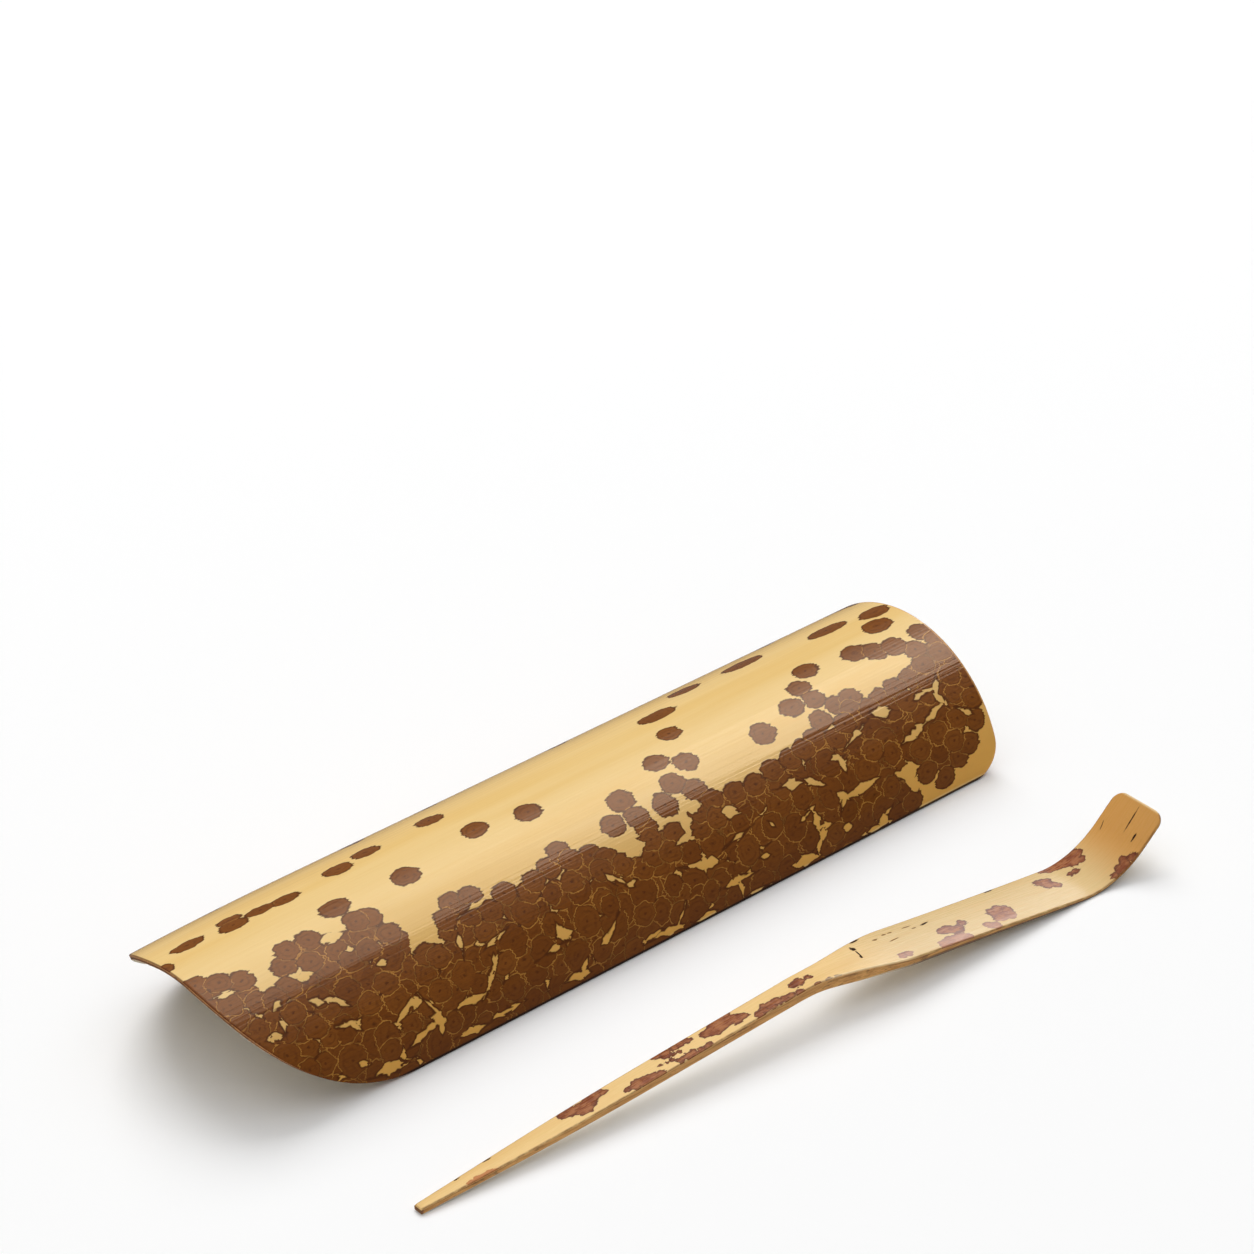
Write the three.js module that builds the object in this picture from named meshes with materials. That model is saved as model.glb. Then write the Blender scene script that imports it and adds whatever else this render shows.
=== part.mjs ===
import * as THREE from 'three';

const { clamp, degToRad, lerp, smoothstep } = THREE.MathUtils;

// A bamboo tea scoop in two pieces: a leaf trough split from one half of a culm, lying arch up,
// and a slim hand scoop lying in front of it. Millimetres, +Z up. The origin is on the table
// under the middle of the set, and +X runs along the trough to its square-cut end.

// Leaf trough
const troughLength = 170;
const culmRadius = 24.6; // outer skin of the culm
const archHalfAngle = degToRad(85); // from the crown to each rim
const troughWall = 2.4;
const tongueLipWall = 0.9; // wall at the tongue's pared edge
const tongueLipRun = 12; // length over which the wall is pared
const tongueRoundLength = 33; // tongue's rounding, along the culm
const tongueRoundArc = 32.3; // tongue's rounding, round the culm
const tongueDip = 0.7; // how far the skin dips at the tongue's edge
const squareCornerRadius = 6.5; // at the square-cut end

// Hand scoop, along its underside from the tail
const handleLength = 83; // tail to neck
const bladeLength = 68.9; // neck to bend
const tipLength = 15.3; // bend to the tip's edge
const bladeFall = degToRad(5.65); // blade's slope down to the table
const tipRise = degToRad(42);
const neckRadius = 40;
const bendRadius = 19;

// Hand scoop, across its length
const tailWidth = 1.8;
const handleWidth = 4.7;
const bladeWidth = 10.4;
const tipWidth = 11.6;
const tipCornerRadius = 2.4;
const tailTaperLength = 48;
const flareLength = 22;
const tailThickness = 1.15;
const handleThickness = 1.85;
const shoulderSwell = 0.45; // extra thickness where the blade begins
const shoulderRun = 10;
const tipThickness = 0.6;
const bladeTaperLength = 60;
const skinRadius = 40; // crown of the scoop's upper face, across

// How the two pieces lie
const scoopSpacing = 29.6; // trough's rim to the scoop's centre line at its tail
const scoopTailInset = 6.4; // scoop's tail behind the tongue's edge
const scoopYaw = degToRad(-1.9);

// Facets
const archSegments = 28;
const tongueSegments = 14;
const cornerSegments = 5;
const lengthSegments = 6;
const scoopSegments = 72;
const scoopAcross = 4;

// A solid through a row of sections. Each section is an upper and a lower row of equally many
// points from one edge to the other, and both ends are closed between their two rows.
function loft(sections) {
  const rowSize = sections[0].upper.length;
  const ringSize = 2 * rowSize;
  const rings = sections.map(({ upper, lower }) => [...upper, ...lower.toReversed()]);
  const index = [];
  const addQuad = (a, b, c, d) => index.push(a, b, c, a, c, d);
  for (let ring = 0; ring + 1 < rings.length; ring += 1) {
    for (let corner = 0; corner < ringSize; corner += 1) {
      const here = ring * ringSize;
      const next = (corner + 1) % ringSize;
      addQuad(here + corner, here + ringSize + corner, here + ringSize + next, here + next);
    }
  }
  const last = (rings.length - 1) * ringSize;
  for (let corner = 0; corner + 1 < rowSize; corner += 1) {
    const below = ringSize - 1 - corner;
    addQuad(corner, corner + 1, below - 1, below);
    addQuad(last + corner, last + below, last + below - 1, last + corner + 1);
  }
  const geometry = new THREE.BufferGeometry();
  const positions = rings.flat().flatMap((point) => point.toArray());
  geometry.setAttribute('position', new THREE.Float32BufferAttribute(positions, 3));
  geometry.setIndex(index);
  geometry.computeVertexNormals();
  return geometry;
}

// A path of straight runs whose corners are rounded, each with its own radius.
function roundedPath(points, radii) {
  const path = new THREE.Path().moveTo(points[0].x, points[0].y);
  radii.forEach((radius, step) => {
    const corner = points[step + 1];
    const before = corner.clone().sub(points[step]);
    const after = points[step + 2].clone().sub(corner);
    const turn = after.angle() - before.angle();
    const bend = Math.atan2(Math.sin(turn), Math.cos(turn));
    const start = corner.clone().addScaledVector(before.normalize(), -radius * Math.tan(Math.abs(bend) / 2));
    const side = Math.sign(bend);
    const startAngle = before.angle() - (side * Math.PI) / 2;
    const centre = new THREE.Vector2(-before.y, before.x).multiplyScalar(side * radius).add(start);
    path.lineTo(start.x, start.y);
    path.absarc(centre.x, centre.y, radius, startAngle, startAngle + bend, side < 0);
  });
  const end = points.at(-1);
  return path.lineTo(end.x, end.y);
}

function quarterTurn(step, count) {
  return ((Math.PI / 2) * step) / count;
}

// The arch's section at one place along the culm. The rims are cut flat, in the table's plane.
function archSection(x, halfArc, outerRadius, wall) {
  const rimDrop = culmRadius * Math.cos(archHalfAngle);
  const arc = (radius) => {
    const fullAngle = Math.acos(rimDrop / radius);
    const edgeAngle = (fullAngle * halfArc) / (culmRadius * archHalfAngle);
    return Array.from({ length: archSegments + 1 }, (unused, step) => {
      const angle = lerp(-edgeAngle, edgeAngle, step / archSegments);
      return new THREE.Vector3(x, radius * Math.sin(angle), radius * Math.cos(angle) - rimDrop);
    });
  };
  return { upper: arc(outerRadius), lower: arc(outerRadius - wall) };
}

function leafTrough() {
  const halfArc = culmRadius * archHalfAngle;
  const tongueEnd = -troughLength / 2;
  const squareEnd = troughLength / 2;
  const roundStart = tongueEnd + tongueRoundLength;
  const cornerStart = squareEnd - squareCornerRadius;
  const sections = [];
  const addSection = (x, arc) => {
    const intoTongue = Math.max(roundStart - x, 0) / tongueRoundLength;
    const pared = smoothstep(x, tongueEnd, tongueEnd + tongueLipRun);
    const outerRadius = culmRadius - tongueDip * intoTongue ** 2;
    sections.push(archSection(x, arc, outerRadius, lerp(tongueLipWall, troughWall, pared)));
  };
  for (let step = 0; step < tongueSegments; step += 1) {
    const turn = quarterTurn(step, tongueSegments);
    const x = roundStart - tongueRoundLength * Math.cos(turn);
    addSection(x, halfArc - tongueRoundArc * (1 - Math.sin(turn)));
  }
  for (let step = 0; step < lengthSegments; step += 1) {
    addSection(lerp(roundStart, cornerStart, step / lengthSegments), halfArc);
  }
  for (let step = 0; step <= cornerSegments; step += 1) {
    const turn = quarterTurn(step, cornerSegments);
    const x = cornerStart + squareCornerRadius * Math.sin(turn);
    addSection(x, halfArc - squareCornerRadius * (1 - Math.cos(turn)));
  }
  return loft(sections);
}

// The scoop's underside, seen from the side. Its tail and the bottom of its bend touch the table.
function scoopUnderside() {
  const halfTurn = (bladeFall + tipRise) / 2;
  const bendDip = bendRadius * (Math.cos((tipRise - bladeFall) / 2) / Math.cos(halfTurn) - 1);
  const tail = new THREE.Vector2(0, 0);
  const bend = new THREE.Vector2(handleLength + bladeLength, -bendDip);
  const neck = new THREE.Vector2(handleLength, bladeLength * Math.tan(bladeFall) - bendDip);
  const tipRun = new THREE.Vector2(Math.cos(tipRise), Math.sin(tipRise)).multiplyScalar(tipLength);
  return roundedPath([tail, neck, bend, bend.clone().add(tipRun)], [neckRadius, bendRadius]);
}

function scoopHalfWidth(along, length) {
  const handle = lerp(tailWidth, handleWidth, Math.sin(quarterTurn(clamp(along, 0, tailTaperLength), tailTaperLength)));
  const blade = lerp(bladeWidth, tipWidth, smoothstep(along, handleLength + flareLength, length));
  const width = lerp(handle, blade, smoothstep(along, handleLength, handleLength + flareLength));
  const intoCorner = tipCornerRadius - clamp(length - along, 0, tipCornerRadius);
  const cornerCut = tipCornerRadius - Math.sqrt(tipCornerRadius ** 2 - intoCorner ** 2);
  return width / 2 - cornerCut;
}

function scoopThickness(along) {
  const shoulder = handleLength + shoulderRun;
  const handle = lerp(tailThickness, handleThickness, smoothstep(along, 0, handleLength));
  const swell = shoulderSwell * Math.exp(-(((along - shoulder) / shoulderRun) ** 2));
  return lerp(handle, tipThickness, smoothstep(along, shoulder, shoulder + bladeTaperLength)) + swell;
}

function handScoop() {
  const underside = scoopUnderside();
  const length = underside.getLength();
  const cornerStart = length - tipCornerRadius;
  const stations = [];
  for (let step = 0; step < scoopSegments; step += 1) {
    stations.push((cornerStart * step) / scoopSegments);
  }
  for (let step = 0; step <= cornerSegments; step += 1) {
    stations.push(cornerStart + tipCornerRadius * Math.sin(quarterTurn(step, cornerSegments)));
  }
  const sections = stations.map((along) => {
    const base = underside.getPoint(along / length);
    const tangent = underside.getTangent(along / length);
    const halfWidth = scoopHalfWidth(along, length);
    const row = (heightAt) => Array.from({ length: scoopAcross + 1 }, (unused, step) => {
      const across = lerp(-halfWidth, halfWidth, step / scoopAcross);
      const height = heightAt(across);
      return new THREE.Vector3(base.x - tangent.y * height, across, base.y + tangent.x * height);
    });
    const crown = (across) => (halfWidth ** 2 - across ** 2) / (2 * skinRadius);
    return { upper: row((across) => scoopThickness(along) + crown(across)), lower: row(() => 0) };
  });
  return loft(sections);
}

const trough = new THREE.Mesh(
  leafTrough(),
  new THREE.MeshStandardMaterial({ color: '#a97a42', roughness: 0.3, metalness: 0 }),
);
trough.name = 'leaf_trough';

const scoop = new THREE.Mesh(
  handScoop(),
  new THREE.MeshStandardMaterial({ color: '#d3a765', roughness: 0.4, metalness: 0 }),
);
scoop.name = 'leaf_scoop';
const rimHalfWidth = culmRadius * Math.sin(archHalfAngle);
scoop.position.set(scoopTailInset - troughLength / 2, -rimHalfWidth - scoopSpacing, 0);
scoop.rotation.z = scoopYaw;

const set = new THREE.Group();
set.add(trough, scoop);
const box = new THREE.Box3().setFromObject(set, true);
const middle = box.getCenter(new THREE.Vector3());
set.position.set(-middle.x, -middle.y, -box.min.z);

export default set;
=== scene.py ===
import math
import bmesh
import bpy
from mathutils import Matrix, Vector


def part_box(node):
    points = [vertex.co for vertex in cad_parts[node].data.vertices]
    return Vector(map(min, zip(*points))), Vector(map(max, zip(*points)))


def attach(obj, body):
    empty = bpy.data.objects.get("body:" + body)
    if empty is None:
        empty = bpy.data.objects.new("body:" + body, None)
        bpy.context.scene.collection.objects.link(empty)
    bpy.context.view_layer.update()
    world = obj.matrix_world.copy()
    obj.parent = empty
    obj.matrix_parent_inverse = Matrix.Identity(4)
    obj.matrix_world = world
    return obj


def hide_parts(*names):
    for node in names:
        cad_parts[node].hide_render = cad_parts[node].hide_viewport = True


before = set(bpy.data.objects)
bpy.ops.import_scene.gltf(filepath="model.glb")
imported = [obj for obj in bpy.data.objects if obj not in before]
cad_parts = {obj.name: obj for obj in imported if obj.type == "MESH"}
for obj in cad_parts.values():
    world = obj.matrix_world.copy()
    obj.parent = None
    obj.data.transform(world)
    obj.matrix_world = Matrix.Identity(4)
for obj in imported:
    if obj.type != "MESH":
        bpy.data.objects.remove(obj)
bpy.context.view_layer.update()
print("frame loaded:", ", ".join(sorted(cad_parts)))

mm = 0.001


# small helpers for the shapes
def between(first, second, share):
    return first + (second - first) * share


def ease(value, start, end):  # 0 before start, 1 after end, smooth between them
    share = min(max((value - start) / (end - start), 0), 1)
    return share * share * (3 - 2 * share)


def edgeDrop(reach, rounding):  # how far a rounded edge has fallen away, reach in from the border
    if reach >= rounding:
        return 0
    return rounding - math.sqrt(rounding ** 2 - (rounding - max(reach, 0)) ** 2)


def spreadRow(share):  # -1 to 1 across the strip, with rows gathered at both edges
    return math.sin(math.pi / 2 * share)


def flatSlab(columns, rows):  # a closed slab: columns along x, rows -1 to 1 in y, layers 0 and 1 in z
    bm = bmesh.new()
    bmesh.ops.create_grid(bm, x_segments=columns, y_segments=rows, size=1)
    bmesh.ops.solidify(bm, geom=bm.faces[:], thickness=1)
    bmesh.ops.translate(bm, verts=bm.verts, vec=(1, 0, -min(v.co.z for v in bm.verts)))
    bmesh.ops.scale(bm, verts=bm.verts, vec=(columns / 2, 1, 1))
    bmesh.ops.recalc_face_normals(bm, faces=bm.faces)
    bm.normal_update()
    for face in bm.faces:  # 0 the skin, 1 the underside, 2 the cut edge between them
        lift = face.normal.z
        face.material_index = 0 if lift > 0.5 else 1 if lift < -0.5 else 2
        face.smooth = True
    # solidify leaves the side faces in any order, so they are put in the same one each run
    bm.faces.sort(key=lambda face: face.calc_center_median().dot((1000, 100, 10 ** 7)))
    return bm


def newObject(name, bm, materials):
    mesh = bpy.data.meshes.new(name)
    bm.to_mesh(mesh)
    bm.free()
    for material in materials:
        mesh.materials.append(material)
    made = bpy.data.objects.new(name, mesh)
    bpy.context.collection.objects.link(made)
    return made


def finishPiece(name, bm, materials, body, node):
    bm.normal_update()
    for edge in bm.edges:
        edge.smooth = edge.calc_face_angle(0) < math.radians(38)
    piece = newObject(name, bm, materials)
    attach(piece, body)
    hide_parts(node)
    print(name, "has", len(piece.data.polygons), "faces")


# small helpers for the materials
def shade(red, green, blue):  # a colour as it is seen, 0 to 255, for a colour socket
    def straight(part):
        part /= 255
        return part / 12.92 if part <= 0.04045 else ((part + 0.055) / 1.055) ** 2.4
    return (straight(red), straight(green), straight(blue), 1)


def feed(tree, socket, value):
    if isinstance(value, bpy.types.NodeSocket):
        tree.links.new(value, socket)
    else:
        socket.default_value = value


def feedAll(tree, sockets, values):
    for name, value in values.items():
        feed(tree, sockets[name], value)


def addNode(tree, kind, inputs=None, **settings):
    made = tree.nodes.new(kind)
    for name, value in settings.items():
        setattr(made, name, value)
    feedAll(tree, made.inputs, inputs or {})
    return made


def calc(tree, operation, *values):
    return addNode(tree, "ShaderNodeMath", dict(enumerate(values)), operation=operation).outputs[0]


def fade(tree, value, low, high, bottom=0, top=1):
    spread = {"Value": value, "From Min": low, "From Max": high, "To Min": bottom, "To Max": top}
    return addNode(tree, "ShaderNodeMapRange", spread, interpolation_type="SMOOTHSTEP").outputs[0]


def mixColour(tree, share, first, second):
    return addNode(tree, "ShaderNodeMix", {0: share, 6: first, 7: second}, data_type="RGBA").outputs[2]


def layered(tree, colour, *layers):  # each layer is a share, and a colour that goes over those before it
    for share, over in layers:
        colour = mixColour(tree, share, colour, over)
    return colour


def mixValue(tree, share, first, second):
    return addNode(tree, "ShaderNodeMix", {0: share, 2: first, 3: second}, data_type="FLOAT").outputs[0]


def vectorCalc(tree, operation, first, second):
    return addNode(tree, "ShaderNodeVectorMath", {0: first, 1: second}, operation=operation).outputs[0]


def turnedBy(tree, vector, angle, invert=False):
    sockets = {"Vector": vector, "Angle": angle}
    return addNode(tree, "ShaderNodeVectorRotate", sockets, invert=invert).outputs[0]


def splitUp(tree, vector):
    return addNode(tree, "ShaderNodeSeparateXYZ", {0: vector}).outputs


def stretched(tree, vector, scale, shift=(0, 0, 0)):
    sockets = {"Vector": vector, "Scale": scale, "Location": shift}
    return addNode(tree, "ShaderNodeMapping", sockets).outputs[0]


def noiseAt(tree, vector, scale, detail=2, roughness=0.5, shift=(0, 0, 0)):
    place = stretched(tree, vector, scale, shift)
    sockets = {"Vector": place, "Scale": 1, "Detail": detail, "Roughness": roughness}
    return addNode(tree, "ShaderNodeTexNoise", sockets).outputs[0]


def newGroup(name, inputs, outputs):
    tree = bpy.data.node_groups.new(name, "ShaderNodeTree")
    for socketName, kind, value in inputs:
        socket = tree.interface.new_socket(socketName, in_out="INPUT", socket_type="NodeSocket" + kind)
        if value is not None:
            socket.default_value = value
    for socketName, kind in outputs:
        tree.interface.new_socket(socketName, in_out="OUTPUT", socket_type="NodeSocket" + kind)
    return tree, tree.nodes.new("NodeGroupInput").outputs, tree.nodes.new("NodeGroupOutput").inputs


def useGroup(tree, group, **inputs):
    return addNode(tree, "ShaderNodeGroup", inputs, node_tree=group).outputs


def plainMaterial(name):
    material = bpy.data.materials.new(name)
    material.use_nodes = True
    tree = material.node_tree
    return material, tree, tree.nodes["Principled BSDF"].inputs


def newMaterial(name, roughness):
    material, tree, sockets = plainMaterial(name)
    sockets["Roughness"].default_value = roughness
    place = addNode(tree, "ShaderNodeUVMap", uv_map="skinMap").outputs[0]  # mm along and across the strip
    return material, tree, sockets, place


def attributeOf(tree, name, output="Fac"):
    return addNode(tree, "ShaderNodeAttribute", attribute_name=name).outputs[output]


def finishPaint(tree, sockets, colour, roughness, height, distance):
    bump = addNode(tree, "ShaderNodeBump", {"Height": height, "Distance": distance}).outputs[0]
    feedAll(tree, sockets, {"Base Color": colour, "Roughness": roughness, "Normal": bump})


# lengthwise bamboo fibre: fine threads, broad soft bands and the fine ridges of the skin
def makeFibre():
    tree, given, sent = newGroup(
        "fibre", [("Place", "Vector", None)],
        [("Thread", "Float"), ("Band", "Float"), ("Ridge", "Float")])
    feed(tree, sent["Thread"], noiseAt(tree, given["Place"], (0.09, 3.2, 1), 3, 0.6))
    feed(tree, sent["Band"], noiseAt(tree, given["Place"], (0.012, 0.17, 1), 2, 0.5, (7, 3, 0)))
    feed(tree, sent["Ridge"], noiseAt(tree, given["Place"], (0.012, 1.7, 1), 2, 0.55, (2, 9, 0)))
    return tree


# how a stain creeps along the fibre at its ends, and swells unevenly, in millimetres
def makeFray():
    tree, given, sent = newGroup(
        "fray", [("Place", "Vector", None)],
        [("Slip", "Float"), ("Swell", "Float"), ("Nibble", "Float")])
    teeth = noiseAt(tree, given["Place"], (0.16, 2.1, 1), 2, 0.6, (5, 1, 0))
    lobes = noiseAt(tree, given["Place"], (0.5, 0.55, 1), 1, 0.5)
    feed(tree, sent["Slip"], calc(tree, "MULTIPLY_ADD", teeth, 1.5, -0.75))
    scallops = noiseAt(tree, given["Place"], (1.3, 1.7, 1), 1, 0.5, (9, 2, 0))
    feed(tree, sent["Swell"], calc(tree, "MULTIPLY_ADD", lobes, 1.1, -0.55))
    feed(tree, sent["Nibble"], calc(tree, "MULTIPLY_ADD", scallops, 0.7, -0.35))
    return tree


fibre = makeFibre()
fray = makeFray()

# the half culm that holds the leaf
trough = {
    "archHalfAngle": math.radians(85),
    "wall": 2.4 * mm,
    "lipWall": 0.9 * mm,
    "lipRun": 12 * mm,
    "lipEdge": 1.1 * mm,
    "lipBevel": 2.5 * mm,
    "tongueLength": 33 * mm,
    "tongueArc": 32.3 * mm,
    "tongueDip": 0.7 * mm,
    "cornerRadius": 6.5 * mm,
    "skinRounding": 0.2 * mm,
    "rimRounding": 0.35 * mm,
    "innerRounding": 0.1 * mm,
    "columns": (30, 130, 14),  # tongue, straight run, square corners
    "rows": 96,
    # spots on the bare skin: mm from the square end, degrees from the crown to the near side,
    # half length, half width
    "spots": (
        (-170, -4, 1.8, 1.4), (-163, -11.5, 3.7, 1.5), (-153.5, -14, 2.8, 1.3), (-154, -9, 3.2, 1.7),
        (-148, -10, 3.1, 1.4), (-143, -9, 3.3, 1.4), (-130.5, -12, 3.3, 1.9), (-123.5, -15, 3.2, 1.8),
        (-109, -16, 3.1, 1.9), (-138.5, 9, 3.4, 2.1), (-123.5, 10, 3.2, 2.3), (-106, 4, 2.9, 2.1),
        (-95.5, 8, 3.1, 2.2), (-57.5, -12, 4.6, 1.8), (-60.5, 3, 2.9, 1.9), (-68, 14, 2.9, 2.1),
        (-63, 20, 2.8, 2.2), (-68.5, 26, 2.9, 2.3), (-65.5, 33, 2.9, 2.3), (-72.5, 33, 2.9, 2.6),
        (-79.5, 23, 3.1, 2.4), (-84, 31, 2.8, 2.3), (-79, 32, 2.7, 2.3), (-46, 24, 3, 2.5),
        (-28, 5, 3, 2), (-32.5, 12, 2.8, 2), (-37, 19, 2.9, 2.3), (-32, 20, 2.7, 2.2),
        (-33, -22, 5, 1.9), (-46.5, -24, 4, 1.8), (-14.5, -15, 5, 1.8), (-4, -11, 3.9, 2.1),
        (-7.5, -1, 3.6, 2.2), (-17, 8, 3.2, 2.3), (-13.5, 12, 2.8, 2.4), (-9.5, 14, 3, 2.4),
        (-120, -38, 3.2, 2.8), (-103, -40.5, 3.4, 2.9), (-73, -39, 3.1, 2.8), (-22, -40, 3.3, 2.9),
        (-150, -42, 3, 2.7),
    ),
    # spots that edge the crowd, all about one size: mm from the square end, degrees from the crown
    "edgeSpots": (
        (-169, 12), (-165.5, 16), (-162, 20), (-166.5, 27), (-162, 31), (-157.5, 41), (-155.5, 31),
        (-154, 23), (-151.5, 17), (-147, 17), (-149.5, 26), (-147.5, 31), (-144, 27), (-143, 33),
        (-138.5, 26), (-139, 32), (-135, 20), (-134, 30), (-130, 44), (-123.5, 40), (-120.5, 30),
        (-116.5, 31), (-118.5, 38), (-110.5, 36), (-106, 40), (-104, 37), (-100, 35), (-96.5, 31),
        (-95.5, 36), (-97.5, 44), (-91.5, 38), (-89, 42), (-86.5, 47), (-83, 52), (-80, 49),
        (-78.5, 38), (-79, 43), (-74, 45), (-76.5, 51), (-68.5, 48), (-67, 42), (-63.5, 40),
        (-59.5, 43), (-58.5, 41), (-54, 42), (-49, 40), (-44.5, 39), (-37.5, 36), (-33.5, 40),
        (-34, 30), (-29, 27), (-25.5, 27), (-20, 33), (-16, 32), (-12, 31), (-9, 35), (-7.5, 28),
        (-6.5, 20), (-2.5, 13), (-1, 20), (-2.5, 26), (-1, 32), (-4, 37), (-5, 45), (-2, 50), (-7, 55),
        (-3.5, 59), (-6.5, 67), (-9.5, 63), (-12.5, 57), (-17.5, 60), (-17.5, 70), (-13.5, 76),
        (-114.5, 40), (-117.5, 46), (-27, 32), (-30, 36), (-91, 45), (-41, 38), (-22, 79), (-123, 35),
        (-128, 47), (-155, 50), (-27.5, 51), (-9.5, 70), (-15.5, 39), (-1.2, 41), (-137.5, 19),
        (-143, 72), (-144, 51), (-139.5, 47), (-41, 76), (-86, 69), (-130.5, 59), (-159, 33),
        (-89.5, 81), (-116.5, 61), (-64.5, 47), (-23.5, 35),
    ),
    "edgeHalfSize": (2.7, 2.3),
    "lotSpacing": 1.3,  # spots of one lot lie this far apart, where 1 just touches
    # upper edge of the crowded near side: mm from the square end, mm round from the crown
    "crowdEdge": (
        (-170, 3.3), (-164, 6), (-161.5, 8), (-160, 13.5), (-156, 12.5), (-152, 6.5), (-149, 4.9),
        (-145, 6.5), (-141, 7.5), (-138, 6), (-134, 7), (-132.5, 15.8), (-128.5, 17.7), (-124, 14),
        (-122, 12.3), (-115.5, 13.5), (-108, 13.9), (-104.5, 15.4), (-100, 12.2), (-94, 13),
        (-88.5, 18.5), (-82, 16.5), (-77, 15.4), (-71, 20), (-66, 16), (-56, 16), (-49, 16),
        (-41, 15.3), (-35, 12.4), (-26, 11.9), (-16, 11.9), (-7.5, 6.9), (0, 6.4),
    ),
    # bare channels between crowded spots: mm from the square end, degrees from the crown, half length,
    # half width, turn in degrees
    "gaps": (
        (-8.3, 39.3, 1.8, 0.65, -54), (-8.7, 44.4, 1.8, 0.75, 65), (-11.6, 39.3, 2.8, 0.5, -5),
        (-12.5, 49.3, 2.9, 0.65, -17), (-17.3, 52.3, 2.9, 0.9, -15), (-4.6, 54.3, 1.6, 0.4, 40),
        (-21.8, 38.3, 2.7, 1, 15), (-29, 42, 2.6, 0.45, -21), (-34.9, 49.8, 1.6, 0.35, 90),
        (-36, 47, 1.3, 0.5, 10), (-42.4, 51.6, 2.3, 0.4, 35), (-47.2, 48.4, 2.6, 0.8, 8),
        (-21.8, 65.5, 2.8, 1.5, 5), (-21.6, 70, 2.6, 1.1, 70), (-28.4, 78, 1.1, 0.55, -30),
        (-29.4, 80.3, 1.4, 0.95, 80), (-31, 82.8, 3, 0.55, 0), (-33, 63.2, 3.3, 0.75, -3),
        (-37.6, 62.2, 1.6, 0.55, 45), (-37.7, 65.3, 1.4, 0.4, 125), (-38, 76.2, 1.2, 0.7, 15),
        (-46.3, 62.6, 1.7, 0.4, -20), (-44.6, 67, 1.8, 0.75, 75), (-43.4, 70.3, 1.7, 0.65, 5),
        (-43.9, 73, 1.7, 0.65, 100), (-45.1, 77.3, 1.5, 0.5, 120), (-49, 80.8, 3.5, 0.95, 5),
        (-54.3, 59.8, 1, 0.55, 50), (-57.2, 70.8, 1, 0.45, 10), (-60, 83, 1.8, 0.4, 0),
        (-61.3, 47.3, 2, 1, 20), (-62.3, 58, 1.9, 0.35, -12), (-64.2, 77.6, 1.7, 0.55, 85),
        (-65, 74.6, 2.8, 0.55, 0), (-67.7, 39, 1.7, 1.4, 0), (-69.2, 62.8, 1.4, 0.9, 20),
        (-71.6, 61.5, 2.9, 0.55, 16), (-71.2, 43.5, 2.2, 0.75, 95), (-72.6, 48.6, 1.9, 0.45, -10),
        (-72.5, 82.8, 2.2, 0.45, 0), (-78.3, 77.3, 1.8, 0.5, -55), (-81.3, 81.2, 3.3, 0.6, 5),
        (-82.6, 43, 2.4, 1.6, 0), (-85.7, 79.5, 1.9, 0.65, -8), (-87, 55, 0.9, 0.4, 0),
        (-88.5, 52.3, 2, 0.5, 42), (-90.2, 49, 1.4, 0.4, 60), (-93.3, 68, 2, 0.55, -45),
        (-95.5, 71.5, 1.3, 0.8, -30), (-100.9, 78, 1.2, 0.55, -60), (-102, 80.5, 2.4, 0.7, 5),
        (-103.2, 61.3, 1.4, 0.85, 10), (-104, 59, 1.9, 0.75, 85), (-106.3, 64.7, 2.3, 0.4, -8),
        (-117, 35.3, 2.7, 0.4, -8), (-117, 51.2, 1.9, 0.4, -15), (-118.2, 57.6, 1.2, 0.65, 100),
        (-118.5, 79.3, 2.9, 0.5, -3), (-120, 63, 3, 0.5, -48), (-123, 45, 1.5, 0.35, 105),
        (-125, 68.3, 2.9, 0.8, 0), (-125.5, 80.3, 3, 0.85, 3), (-132.3, 69, 1.6, 1, 30),
        (-132.3, 73, 1.3, 0.45, 100), (-133.4, 62, 1.9, 0.5, 60), (-133.9, 70, 1.1, 0.5, -10),
        (-135.7, 58.7, 1.4, 0.65, 15), (-137.8, 72.8, 2.5, 0.5, -18), (-138, 39, 1, 0.6, 0),
        (-138.3, 59.8, 1.9, 0.45, -28), (-141, 76, 1, 0.5, 100), (-144.2, 78.4, 3.7, 1.1, 2),
        (-141.9, 28.3, 0.7, 0.6, 0), (-143.4, 20.6, 2, 0.9, 0), (-148.4, 56, 0.9, 0.4, 50),
        (-148.8, 46, 0.8, 0.3, 40), (-149.2, 71, 1.1, 0.5, 30), (-150, 54.3, 1.8, 0.65, 8),
        (-150.3, 43.3, 2.1, 0.45, 28), (-152.6, 41.3, 1.4, 0.85, 30), (-152, 30.4, 1.5, 1, 10),
        (-153.5, 28.3, 0.9, 0.5, 20), (-159.2, 35.3, 1.2, 0.75, -30), (-160.4, 44, 1.6, 0.55, 100),
        (-162.5, 46.5, 2.1, 0.6, 8), (-166.2, 21.8, 1.7, 0.65, 10),
    ),
    "gapCurve": 1.15,  # 1 has straight pointed sides, 2 is an ellipse
    # the lots of spots that lie over each other: shift in mm, turn in degrees
    "crowdLots": (
        ((0, 0, 0), 12), ((39.6, 16.6, 0), 47), ((-41.4, 26.6, 0), 71), ((63, -32, 0), 28), ((80, 54, 0), 58),
    ),
    "crownColour": shade(238, 204, 138),
    "bandColour": shade(234, 196, 124),
    "rimColour": shade(223, 167, 80),
    # pale edge colour: bare skin at the square cut end, partly a painted highlight on its rounded edge
    "edgeColour": shade(224, 168, 100),
    # painted shade on the rounded cut edge of the skin
    "edgeShadeColour": shade(112, 60, 30),
    # painted shade where the long rims meet the table, partly a darkened cut rim
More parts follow.
